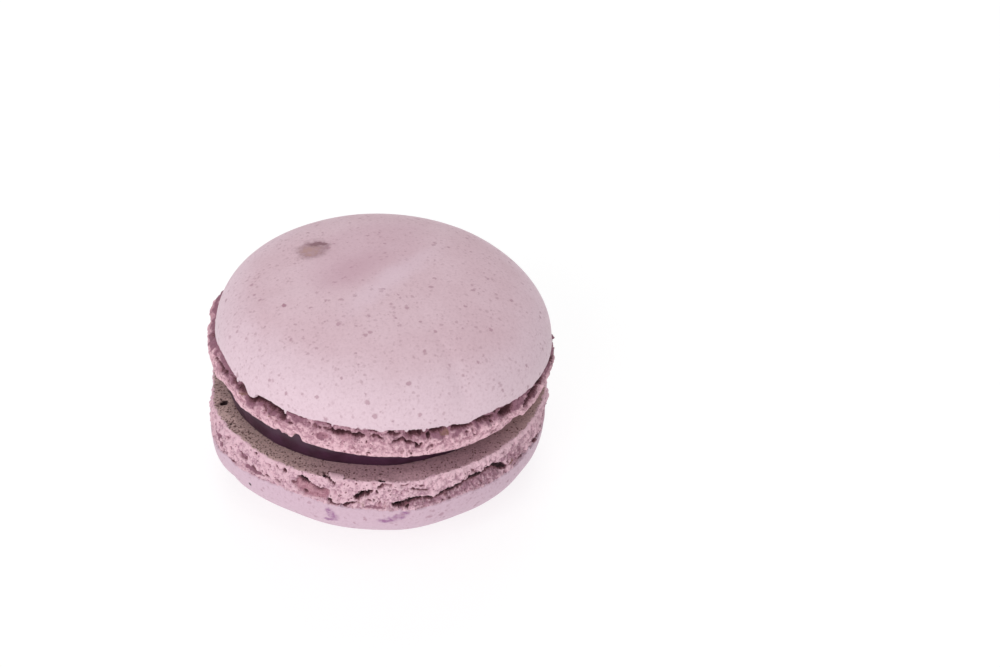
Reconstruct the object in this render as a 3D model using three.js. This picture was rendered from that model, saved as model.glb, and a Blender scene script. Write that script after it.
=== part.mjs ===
// A single macaron: two baked almond shells, flat faces inward, on a disc of dark filling.
// Each shell is a smooth shallow dome that stands on a ruffled crumb band, the foot.
// Millimetres, +Z up. The macaron rests on the middle of its lower dome.
// Angles are in degrees, from +X towards +Y seen from above, so -90 is the front.

import * as THREE from "three";
import { ImprovedNoise } from "three/addons/math/ImprovedNoise.js";

// Driving dimensions of the two shells. Each shell is described with its face at height 0
// and its dome above it, and the lower one is built downwards.
const lower = {
  up: -1,
  faceRadius: 22.5, // edge of the flat baked face
  rimRadius: 22.65, // edge of the smooth skin, where the foot starts
  footHeight: 4.6,
  domeHeight: 8.8,
  domePower: 2.75, // 2 gives an ellipse, more gives a flatter middle and a rounder shoulder
  flatCrown: true, // the flat spot that the macaron rests on
  footBulge: 0.12, // how far the middle of the foot stands out
  footRoughness: 0.5,
  grooveDepth: 0.3, // where the skin meets the foot
  faceWobble: [-0.07, -0.02, 0.14, 0.03], // cos 2, sin 2, cos 3 and sin 3 waves round the edge
  rimWobble: [0.04, 0, -0.03, -0.05],
  grain: 3.1, // place in the noise, so that the shells differ
  // Where the foot is taller or lower: angle, half width in degrees, rise
  swells: [
    [-120, 20, -0.6],
    [-50, 16, 0.6],
    [-150, 10, 0.3],
    [70, 26, -0.4],
    [140, 20, 0.35],
  ],
  // Where the groove is deeper or shallower: angle, half width in degrees, depth
  grooves: [
    [-52, 16, 0.7],
    [-90, 16, -0.25],
    [-140, 14, 0.2],
    [20, 24, 0.4],
    [105, 30, 0.3],
  ],
  // Burst bubbles in the foot: angle, height over the face, half width, half height, depth
  hollows: [
    [-151, 2.4, 1.6, 0.9, 0.7],
    [-135, 2.8, 2.2, 0.8, 0.7],
    [-122, 1.2, 1.2, 0.6, 0.6],
    [-114.5, 1.7, 2.2, 0.8, 1],
    [-103, 3.2, 1.5, 1.1, 0.7],
    [-81, 3.8, 2.6, 0.6, 1.3],
    [-66, 3.1, 2.4, 0.6, 0.8],
    [-54, 2.6, 2.8, 0.6, 1.1],
    [-43, 3.2, 1.9, 0.8, 1],
    ...farHollows(-20, 196, 27, 2.8, 3.1),
  ],
  nicks: [],
  dent: null,
};

const upper = {
  up: 1,
  faceRadius: 22.68,
  rimRadius: 22.2,
  footHeight: 3.6,
  domeHeight: 9.05,
  domePower: 2.39,
  flatCrown: false,
  footBulge: 0.3,
  footRoughness: 0.42,
  grooveDepth: 0.55,
  faceWobble: [0.03, 0.09, -0.16, 0.2],
  rimWobble: [-0.04, -0.07, 0.1, -0.24],
  grain: 17.7,
  swells: [
    [-163, 9, 0.7],
    [-141, 8, -0.45],
    [-92, 18, 0.25],
    [-50, 16, -0.35],
    [60, 22, 0.35],
    [120, 18, -0.3],
  ],
  grooves: [
    [-129, 12, 0.4],
    [-60, 14, 0.2],
    [40, 30, 0.2],
  ],
  hollows: [
    [-160, 2.6, 1.6, 0.8, 0.7],
    [-142, 2.8, 1.5, 0.7, 1],
    [-129, 3, 2.8, 0.9, 1.3],
    [-122.5, 2.1, 1, 0.9, 0.9],
    [-102, 2.8, 2.6, 0.5, 0.9],
    [-88, 3.1, 2, 0.5, 0.7],
    [-70, 2.7, 2.2, 0.8, 1],
    [-58, 2.4, 1.5, 0.8, 0.8],
    [-45, 2.6, 2.6, 0.6, 0.9],
    ...farHollows(-24, 190, 25, 2.6, 17.7),
  ],
  // Nicks in the lower edge of the foot: angle, half width, depth
  nicks: [
    [-132.5, 0.9, 0.7],
    [-118, 1, 0.6],
    [-28, 1.3, 0.4],
    [75, 1.2, 0.5],
    [152, 1.1, 0.5],
  ],
  // A soft dent beside the middle of the dome, with one steep side
  dent: {
    x: -3.4,
    y: 3.6,
    direction: 49, // of the steep side's crest
    length: 11.5,
    steep: 2.2, // from the crest down to the bottom
    shallow: 7.5, // from the bottom back up
    depth: 0.35,
  },
};

const upperOffset = 0.55; // the upper shell sits this far towards +X
const upperTilt = 2.04; // and leans down on that side
const faceGap = 4.17; // between the two faces, under the middle of the upper shell

const filling = {
  radius: 19.45,
  x: -0.63,
  y: 0.1,
  clearance: 0.2, // to each face
  bulge: 0.35, // the pressed filling swells at half height
  roughness: 0.3,
};

const centreShift = [-0.3, 0.12]; // brings the middle of the whole over the origin

// Where the rows of points lie on a shell's profile
const shellSides = 144; // steps round
const faceRings = [0, 0.74, 0.91, 0.978]; // shares of the face radius
const footRows = [0.04, 0.17, 0.32, 0.47, 0.62, 0.75, 0.87, 1]; // shares of the foot height
const domeSteps = [5, 12, 21, 32, 43, 53, 62, 71]; // degrees, from the rim up
const crownRadius = 6; // last ring round the pole
const grooveRow = 0.87;
const grooveWidth = 0.13;

const fillingSides = 96;
const fillingRows = [0, 0.25, 0.5, 0.75, 1]; // shares of its height

const noise = new ImprovedNoise();
const degrees = Math.PI / 180;

function mix(a, b, share) {
  return a + (b - a) * share;
}

// Signed difference of two angles, in degrees, from -180 to 180
function turnBetween(a, b) {
  return ((((a - b + 180) % 360) + 360) % 360) - 180;
}

function bell(offset, halfWidth) {
  return Math.exp(-((offset / halfWidth) ** 2));
}

// The far side of a foot has hollows of the same kind, spaced by a rule
function farHollows(first, last, step, height, grain) {
  const vary = new ImprovedNoise();
  const hollows = [];
  for (let angle = first; angle < last; angle += step) {
    const a = vary.noise(angle * 0.37, grain, 0.5);
    const b = vary.noise(grain, angle * 0.53, 1.5);
    hollows.push([angle + 9 * a, height + 0.7 * b, 2.2 + 1.3 * a, 0.7 - 0.3 * a, 0.85 + 0.4 * b]);
  }
  return hollows;
}

function wobbleAt(angle, [cos2, sin2, cos3, sin3]) {
  const a = angle * degrees;
  const twice = cos2 * Math.cos(2 * a) + sin2 * Math.sin(2 * a);
  const thrice = cos3 * Math.cos(3 * a) + sin3 * Math.sin(3 * a);
  return twice + thrice;
}

// Sum of soft bumps round the shell, each [angle, half width in degrees, size]
function bumpsAt(angle, bumps) {
  let sum = 0;
  for (const [at, halfWidth, size] of bumps) sum += size * bell(turnBetween(angle, at), halfWidth);
  return sum;
}

function hollowAt(angle, height, shell) {
  let depth = 0;
  for (const [at, up, halfWidth, halfHeight, deep] of shell.hollows) {
    const along = turnBetween(angle, at) * degrees * shell.faceRadius;
    depth = Math.max(depth, deep * bell(along, halfWidth) * bell(height - up, halfHeight));
  }
  return depth;
}

function nickAt(angle, shell) {
  let depth = 0;
  for (const [at, halfWidth, deep] of shell.nicks) {
    const along = turnBetween(angle, at) * degrees * shell.faceRadius;
    depth = Math.max(depth, deep * bell(along, halfWidth));
  }
  return depth;
}

function dentAt(x, y, dent) {
  if (!dent) return 0;
  const c = Math.cos(dent.direction * degrees);
  const s = Math.sin(dent.direction * degrees);
  const along = (x - dent.x) * c + (y - dent.y) * s;
  const across = (y - dent.y) * c - (x - dent.x) * s; // negative on the steep side
  const side = across < 0 ? dent.steep : dent.shallow;
  return dent.depth * bell(along, dent.length) * bell(across, side);
}

// Height of the plain dome over the rim, at a distance from the axis
function domeAt(radius, shell) {
  const power = shell.domePower;
  return shell.domeHeight * (1 - (radius / shell.rimRadius) ** power) ** (1 / power);
}

// Profile of a shell from the middle of its face to the pole of its dome.
// share says how far along its zone a row lies.
function shellRows(shell) {
  const face = faceRings.map((share) => ({ zone: "face", share, r: share * shell.faceRadius, z: 0 }));
  const foot = footRows.map((share) => ({
    zone: "foot",
    share,
    r: mix(shell.faceRadius, shell.rimRadius, share),
    z: share * shell.footHeight,
  }));
  const dome = domeSteps.map((step) => {
    const r = shell.rimRadius * Math.cos(step * degrees) ** (2 / shell.domePower);
    return { zone: "dome", share: step / 90, r, z: shell.footHeight + domeAt(r, shell) };
  });
  const crownHeight = shell.footHeight + domeAt(crownRadius, shell);
  const poleHeight = shell.flatCrown ? crownHeight : shell.footHeight + shell.domeHeight;
  dome.push({ zone: "dome", share: 1, r: crownRadius, z: crownHeight });
  dome.push({ zone: "dome", share: 1, r: 0, z: poleHeight });
  return [...face, ...foot, ...dome];
}

function shapeFace(row, angle, shell) {
  return [row.r + wobbleAt(angle, shell.faceWobble) * row.share ** 4, 0];
}

function shapeDome(row, angle, shell) {
  const fade = 1 - row.share; // the rim's unevenness dies out up the dome
  const r = row.r * (1 + (wobbleAt(angle, shell.rimWobble) * fade) / shell.rimRadius);
  const sag = dentAt(r * Math.cos(angle * degrees), r * Math.sin(angle * degrees), shell.dent);
  return [r, row.z + bumpsAt(angle, shell.swells) * fade ** 2 - sag];
}

// Ruffles and crumb from noise, then the groove under the skin, the nicks and the burst bubbles
function shapeFoot(row, angle, shell) {
  const x = Math.cos(angle * degrees);
  const y = Math.sin(angle * degrees);
  const crumb = noise.noise(x * 9 + shell.grain, y * 9, row.z * 0.5);
  const edges = mix(wobbleAt(angle, shell.faceWobble), wobbleAt(angle, shell.rimWobble), row.share);
  const height = row.z + bumpsAt(angle, shell.swells) * row.share;
  if (row.share === 1) {
    return [row.r + edges + 0.3 * shell.footRoughness * crumb, height];
  }
  const bulge = shell.footBulge * Math.sin(Math.PI * Math.min(row.share / grooveRow, 1));
  const groove = Math.max(0, shell.grooveDepth + bumpsAt(angle, shell.grooves)) * (1 + crumb);
  const cut =
    groove * bell(row.share - grooveRow, grooveWidth) +
    nickAt(angle, shell) * Math.max(0, 1 - 3 * row.share) +
    hollowAt(angle, row.z, shell);
  return [row.r + edges + bulge + shell.footRoughness * crumb - cut, height];
}

// A turned shape whose points are then moved one by one
function turnedGeometry(rows, steps, up, shapePoint) {
  const ordered = up > 0 ? rows : [...rows].reverse();
  const profile = ordered.map((row) => new THREE.Vector2(row.r, up * row.z));
  const geometry = new THREE.LatheGeometry(profile, steps);
  geometry.rotateX(Math.PI / 2);
  const position = geometry.getAttribute("position");
  for (let i = 0; i < position.count; i++) {
    const column = Math.floor(i / ordered.length) % steps;
    const angle = turnBetween((column / steps) * 360, 90);
    const [r, z] = shapePoint(ordered[i % ordered.length], angle);
    position.setXYZ(i, r * Math.cos(angle * degrees), r * Math.sin(angle * degrees), up * z);
  }
  geometry.computeVertexNormals();
  return geometry;
}

function shellGeometry(shell) {
  const shapeZone = { face: shapeFace, foot: shapeFoot, dome: shapeDome };
  return turnedGeometry(shellRows(shell), shellSides, shell.up, (row, angle) => {
    return shapeZone[row.zone](row, angle, shell);
  });
}

// The filling stands on the lower face, and its top follows the leaning upper face
function fillingGeometry() {
  const wall = fillingRows.map((share) => ({ r: filling.radius, z: share * faceGap, share }));
  const rows = [{ r: 0, z: 0, share: 0 }, ...wall, { r: 0, z: faceGap, share: 1 }];
  const slope = Math.tan(upperTilt * degrees);
  return turnedGeometry(rows, fillingSides, 1, (row, angle) => {
    const x = Math.cos(angle * degrees);
    const y = Math.sin(angle * degrees);
    const uneven = noise.noise(x * 3, y * 3, row.share * 0.8) + 0.5 * noise.noise(x * 8, y * 8, 9);
    const swelling = filling.bulge * Math.sin(Math.PI * row.share);
    const r = row.r === 0 ? 0 : row.r + filling.roughness * uneven + swelling;
    const ceiling = faceGap - slope * (filling.x + r * x - upperOffset) - filling.clearance;
    return [r, mix(filling.clearance, ceiling, row.share)];
  });
}

const shellMaterial = new THREE.MeshStandardMaterial({ color: 0xdcbcc8, roughness: 0.7, metalness: 0 });
const fillingMaterial = new THREE.MeshStandardMaterial({ color: 0x3c2034, roughness: 0.45, metalness: 0 });

function namedMesh(name, geometry, material) {
  const mesh = new THREE.Mesh(geometry, material.clone());
  mesh.name = name;
  return mesh;
}

const lowerShell = namedMesh("lower_shell", shellGeometry(lower), shellMaterial);

const fillingDisc = namedMesh("filling", fillingGeometry(), fillingMaterial);
fillingDisc.position.set(filling.x, filling.y, 0);

const leaning = new THREE.Group();
leaning.add(namedMesh("upper_shell", shellGeometry(upper), shellMaterial));
leaning.position.set(upperOffset, 0, faceGap);
leaning.rotation.y = upperTilt * degrees;

// The group's own origin is the middle of the lower face, so it is lifted onto its flat spot
const macaron = new THREE.Group();
macaron.add(lowerShell, fillingDisc, leaning);
macaron.position.set(centreShift[0], centreShift[1], lower.footHeight + domeAt(crownRadius, lower));

export default macaron;
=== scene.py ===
import math

import bpy
import numpy as np
from mathutils import Matrix, Vector, noise


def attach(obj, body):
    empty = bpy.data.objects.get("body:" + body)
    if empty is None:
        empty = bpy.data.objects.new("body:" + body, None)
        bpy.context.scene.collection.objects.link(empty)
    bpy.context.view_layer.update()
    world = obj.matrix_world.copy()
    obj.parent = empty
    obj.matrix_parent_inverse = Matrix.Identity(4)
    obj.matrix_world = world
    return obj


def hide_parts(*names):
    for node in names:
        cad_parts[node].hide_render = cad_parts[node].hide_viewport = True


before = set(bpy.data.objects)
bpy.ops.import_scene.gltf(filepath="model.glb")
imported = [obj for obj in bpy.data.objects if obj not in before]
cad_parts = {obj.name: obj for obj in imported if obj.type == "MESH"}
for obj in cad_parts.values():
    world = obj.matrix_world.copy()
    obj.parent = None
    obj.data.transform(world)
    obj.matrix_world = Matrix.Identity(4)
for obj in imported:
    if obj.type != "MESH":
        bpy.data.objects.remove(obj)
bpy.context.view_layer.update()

# One macaron: two baked almond shells on a disc of dark filling, seen from the front.
# Lengths are in millimetres until a mesh is written, and angles in degrees from +X,
# so that -90 is the front. A shell is shaped with its face at height 0 and its dome over it.
mm = 0.001

bpy.context.scene.view_settings.view_transform = "Standard"


# Soft waves, bells and noise that the shapes are made of

def turnBetween(a, b):
    return (a - b + 180) % 360 - 180


def bell(offset, halfWidth, power=2):
    # power 2 is a soft hill, power 4 has a flatter top and steeper sides
    return np.exp(-(abs(offset / halfWidth) ** power))


def smooth(value, low, high):
    t = np.clip((value - low) / (high - low), 0, 1)
    return t * t * (3 - 2 * t)


def wobbleAt(angle, waves):
    a = np.radians(angle)
    twice = waves[0] * np.cos(2 * a) + waves[1] * np.sin(2 * a)
    thrice = waves[2] * np.cos(3 * a) + waves[3] * np.sin(3 * a)
    return twice + thrice


def fromPolar(radius, angle):
    return radius * np.cos(np.radians(angle)), radius * np.sin(np.radians(angle))


def bumpsAt(angle, bumps, power=2):
    total = np.zeros_like(angle)
    for at, halfWidth, size in bumps:
        total += size * bell(turnBetween(angle, at), halfWidth, power)
    return total


def noiseAt(points, size, seed, kind=noise.noise):
    return np.array([kind(p) for p in (points / size + seed).tolist()])


def billowAt(points, size, seed):
    # rounded crumbs with sharp creases: about 0.1 in a crease, 0.4 halfway, 0.8 on a crest
    return noiseAt(points, size, seed, lambda p: noise.turbulence(p, 3, True))


def grainsAt(points, size, seed):
    # grains packed together: 1 on top of a grain, 0 in the seams between them
    near = noiseAt(points, size, seed, lambda p: noise.voronoi(p)[0][:2])
    return np.clip((near[:, 1] - near[:, 0]) / 0.55, 0, 1) ** 0.6


# Building and writing meshes

wedges = 16


def deselectAll():
    for thing in bpy.context.selected_objects:
        thing.select_set(False)


def setMode(mode):
    bpy.ops.object.mode_set(mode=mode)


def makeActive(piece):
    deselectAll()
    piece.select_set(True)
    bpy.context.view_layer.objects.active = piece


def readPoints(piece):
    flat = np.zeros(len(piece.data.vertices) * 3)
    piece.data.vertices.foreach_get("co", flat)
    return flat.reshape(-1, 3) / mm


def writePoints(piece, points):
    piece.data.vertices.foreach_set("co", (points * mm).astype(np.float32).ravel())
    piece.data.update()


def addAttribute(piece, name, values):
    layer = piece.data.attributes.new(name, "FLOAT", "POINT")
    layer.data.foreach_set("value", np.clip(values, 0, 1).astype(np.float32))


def smoothShade(piece):
    makeActive(piece)
    bpy.ops.object.shade_smooth()


def spinOutline(name, outline, sides):
    # one point is drawn out into the outline, and one wedge of the round is spun from it
    deselectAll()
    bpy.ops.mesh.primitive_circle_add(vertices=3, radius=mm, location=(0, 0, 0))
    piece = bpy.context.object
    piece.name = name
    piece.data.name = name
    setMode("EDIT")
    bpy.ops.mesh.merge(type="CENTER")
    bpy.ops.transform.translate(value=(outline[0][0] * mm, 0, outline[0][1] * mm))
    for (r0, z0), (r1, z1) in zip(outline, outline[1:]):
        move = ((r1 - r0) * mm, 0, (z1 - z0) * mm)
        bpy.ops.mesh.extrude_region_move(TRANSFORM_OT_translate={"value": move})
    bpy.ops.mesh.select_all(action="SELECT")
    turn = 2 * math.pi / wedges
    bpy.ops.mesh.spin(steps=sides // wedges, angle=turn, center=(0, 0, 0), axis=(0, 0, 1))
    setMode("OBJECT")
    return piece


def bridgeRings(piece, first, second):
    # closes the gap between two rings of points, each ring given as (radius, height)
    points = readPoints(piece)
    radius = np.hypot(points[:, 0], points[:, 1])
    chosen = np.zeros(len(points), bool)
    for r, z in (first, second):
        chosen |= np.hypot(radius - r, points[:, 2] - z) < 0.01
    edges = np.zeros(2 * len(piece.data.edges), int)
    piece.data.edges.foreach_get("vertices", edges)
    piece.data.vertices.foreach_set("select", chosen)
    piece.data.edges.foreach_set("select", chosen[edges.reshape(-1, 2)].all(axis=1))
    piece.data.polygons.foreach_set("select", np.zeros(len(piece.data.polygons), bool))
    setMode("EDIT")
    bpy.ops.mesh.bridge_edge_loops()
    setMode("OBJECT")


def turnSections(name, sections):
    # each section is (outline, sides): one wedge of each is joined and bridged to the next,
    # and copies are turned on until the round is closed
    parts = [spinOutline(name, outline, sides) for outline, sides in sections]
    piece = parts[0]
    makeActive(piece)
    for part in parts:
        part.select_set(True)
    if len(parts) > 1:
        bpy.ops.object.join()
    for before, after in zip(sections, sections[1:]):
        bridgeRings(piece, before[0][-1], after[0][0])
    setMode("EDIT")
    copied = 1
    while copied < wedges:
        bpy.ops.mesh.select_all(action="SELECT")
        bpy.ops.mesh.duplicate()
        turn = 2 * math.pi * copied / wedges
        bpy.ops.transform.rotate(value=turn, orient_axis="Z", center_override=(0, 0, 0))
        copied *= 2
    bpy.ops.mesh.select_all(action="SELECT")
    bpy.ops.mesh.remove_doubles(threshold=0.002 * mm)
    bpy.ops.mesh.normals_make_consistent(inside=False)
    setMode("OBJECT")
    return piece


# The shells

faceZones = ("face", "border")
fineZones = ("border", "foot", "rim")  # the crumbly foot and the rings next to it
fineSides = 1536
plainSides = 384  # everywhere else
faceInner = 18.4  # the filling hides the face further in
footRadius = 22.448  # where plates are drawn, for both shells
warmFront = (-72, 42, 1)  # where the baked face is warmer: angle, half width, how much
freckledLeft = (-142, 40, 0.65)  # where it has more freckles

# swells: how far the skin's edge is off its plain height, as (angle, half width, rise)
# frays: tongues (-) and bites (+) in the skin's edge; lifts: the face's edge bent up (+) or down (-)
# nicks: pieces gone from the face's edge, as (angle, half width in mm, depth)
# A crack: its path as (angle, height over the face; less than 0 is in from the face's edge),
# half width, depth, and where one side keeps a crisp lip, that side and the other's slope.
# A patch, lump or pit: angle, height, half length, half height, strength, lean if it has one.
# A plate: its corners as (angle, height), turning left, and what it is.
lowerShell = {
    "faceRadius": 22.5,
    "rimRadius": 22.65,
    "footHeight": 4.6,
    "domeHeight": 8.8,
    "domePower": 2.75,
    "crownFlat": 6,  # radius of the flat spot that the macaron rests on
    "borderStep": 0.33,
    "footStep": 0.134,
    "footBulge": 0.12,
    "undercut": 0.14,
    "rolled": (-120, 10, 0.4),  # where the skin rolls over into the crumb: angle, half width, how much
    "shadeBand": (0.7, 0.3),  # how far the painted shade reaches down the crumb under the skin, and how much
    "calm": 0.85,  # roughness of the crumb by the face, against 1 further up
    "faceWobble": (-0.07, -0.02, 0.14, 0.03),
    "rimWobble": (0.04, 0, -0.03, -0.05),
    "footSwells": [(-160, 9, 0.3)],
    "rimSwells": [(-155, 14, 0.45), (-179, 12, -0.5)],
    "seed": 11,
    "grain": 3.1,  # where its noise is drawn from
    "swells": [
        (-121, 11, -0.68), (-79, 10, 0.5), (-60, 6, -0.2), (-157, 6, 0.5), (-30, 6, -0.4), (-143, 4, 0.2),
        (-148, 2.5, -0.3), (70, 26, -0.4), (140, 20, 0.35),
    ],
    "frays": [(-89, 1.2, 0.1), (-82.5, 1, -0.15)],
    "lifts": [(-156, 10, 0.35), (-79, 6, 0.4)],
    "nicks": [(-178, 4.5, 0.8)],
    "dent": None,
    "poreCount": 1500,
    "cracks": [
        ([(-107.5, -0.3), (-106.2, 0), (-104.8, 0.6), (-103.7, 0.75)], 0.24, 1.2),
        ([(-116.3, 1.2), (-114.8, 1.55), (-112.3, 1.6)], 0.42, 1.2),
        ([(-111.6, 2.06), (-108.8, 2.19), (-106.1, 2.14)], 0.12, 0.5, "face", 0.6),
        ([(-106.1, 3.67), (-104.3, 4.22), (-102.1, 4.61)], 0.12, 0.7),
        ([(-102.1, 4.61), (-100.8, 4.35), (-99, 3.84), (-96.8, 3.48)], 0.15, 0.8),
        ([(-97, 2.9), (-95.7, 2.37), (-94.4, 1.9), (-93.3, 1.6), (-91.6, 1.45)], 0.28, 1.1),
        ([(-81.6, 3.6), (-79.7, 3.5), (-77.1, 3.17), (-74.8, 3.2)], 0.25, 0.9, "face", 0.6),
        ([(-86.8, 1.5), (-85.6, 1.48)], 0.09, 0.4),
        ([(-82, 0.62), (-80, 0.58)], 0.09, 0.3),
        ([(-80, 1.21), (-78, 1.55), (-76.5, 1.87), (-75.4, 1.96), (-73.3, 2.25)], 0.1, 0.5),
        ([(-142.2, 2.59), (-141.1, 2.87), (-138.9, 2.77), (-137.4, 2.2)], 0.13, 0.3),
        ([(-74.8, 3.2), (-71.4, 3.65), (-69.7, 3.5), (-67.2, 2.95)], 0.16, 0.7, "face", 0.9),
        ([(-67.2, 2.95), (-64.8, 3.05), (-62.2, 2.7), (-59.4, 2.38)], 0.2, 0.8, "face", 1.1),
        ([(-59.4, 2.38), (-56.3, 2.28), (-52.4, 2.1), (-50.1, 1.92)], 0.27, 0.9, "face", 1.3),
        ([(-50.1, 1.92), (-48.4, 1.96), (-44.6, 2.78), (-42.1, 3.6)], 0.28, 1, "face", 1),
    ],
    "pits": [
        (-83, 3.95, 0.8, 0.5, 2.2, 12), (-93.3, 2.1, 0.4, 0.3, 1.1, 20), (-95.2, 1.7, 0.3, 0.2, 0.8),
        (-121.2, 0.84, 0.36, 0.3, 0.8), (-91.1, 2.79, 0.16, 0.16, 0.45), (-90.1, 1.66, 0.15, 0.3, 0.5),
        (-101.6, 2.68, 0.16, 0.14, 0.4), (-96.8, 0.46, 0.16, 0.14, 0.4), (-103.9, 1.07, 0.2, 0.14, 0.4),
        (-80.1, 4.5, 0.16, 0.3, 0.6), (-88.6, -0.22, 0.5, 0.22, 0.5, 20), (-62.3, 3.29, 0.2, 0.15, 0.45),
        (-68, 4.42, 0.22, 0.15, 0.4), (-43.5, 0.9, 0.16, 0.16, 0.4), (-42.8, 1.73, 0.16, 0.16, 0.4),
        (-32.5, 3.46, 0.35, 0.22, 0.5), (-161.5, 1.78, 0.15, 0.35, 0.25), (-160.8, 3.2, 0.2, 0.6, 0.3),
        (-154, 2.8, 0.3, 0.4, 0.35), (-152.1, 3.4, 0.25, 0.3, 0.3), (-140.8, 2.35, 0.3, 0.25, 0.35),
        (-138.2, 2.45, 0.3, 0.25, 0.35), (-151.3, 4.05, 0.25, 0.55, 0.3), (-148.4, 4.1, 0.2, 0.2, 0.4),
        (-145, 4.5, 0.5, 0.14, 0.4, 10), (-133.8, 0.6, 0.3, 0.24, 0.55), (-134.8, 3.1, 0.5, 0.3, 0.4, 10),
        (-134, 3.3, 0.3, 0.2, 0.35), (-130.5, 3.4, 0.4, 0.18, 0.35), (-130.2, 2.66, 0.22, 0.2, 0.45),
        (-128.9, 3.17, 0.28, 0.2, 0.45), (-162.7, -1.3, 0.55, 0.5, 0.7),
        (-151.1, -0.8, 0.4, 0.24, 0.38, 20), (-145.6, -0.65, 0.2, 0.2, 0.25),
        (-119.7, -2.1, 0.2, 0.2, 0.2), (-117.4, -1.3, 0.2, 0.2, 0.2),
    ],
    "lumps": [(-95.4, 3.45, 0.5, 0.8, 0.25)],
    "rose": [
        (-88.8, 4, 1.1, 0.4, 0.6), (-135, 3.4, 2.4, 0.5, 0.5, -14), (-155, 3.5, 1, 0.7, 0.4),
    ],
    # mauve patches: painted shade in recesses and under the skin, partly the crumb's own mauve
    "mauveShade": [
        (-74.5, 4.1, 2.8, 0.6, 0.6), (-66, 3.9, 2.6, 0.7, 0.6), (-57, 3.4, 2.8, 1, 0.6),
        (-49, 3.3, 2.2, 1.2, 0.6), (-38, 2.6, 1.8, 1.6, 0.6), (-154.1, 3.4, 1.2, 0.4, 1, 37),
        (-139.6, 2.45, 0.8, 0.45, 1), (-134.5, 3.4, 1.7, 0.4, 1, -7), (-145.6, 4.5, 0.8, 0.2, 0.9, 10),
        (-91.5, 4.15, 1.6, 0.3, 0.8),
    ],
    "tan": [
        (-95.4, 3.45, 0.5, 0.8, 0.4), (-40.1, 3.06, 0.5, 0.45, 1), (-93.7, 2, 0.5, 0.35, 0.6),
    ],
    "plates": [
        ([(-106.8, -1.03), (-99.8, -0.69), (-101.8, 0.08), (-104.2, 0.66)], "flake", 0.25),
        (
            [(-117.5, 1.5), (-105.9, 2.1), (-105.6, 3), (-106.8, 3.75), (-113.9, 3.95), (-117.6, 2.7)],
            "rose", -0.35,
        ),
    ],
}

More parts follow.
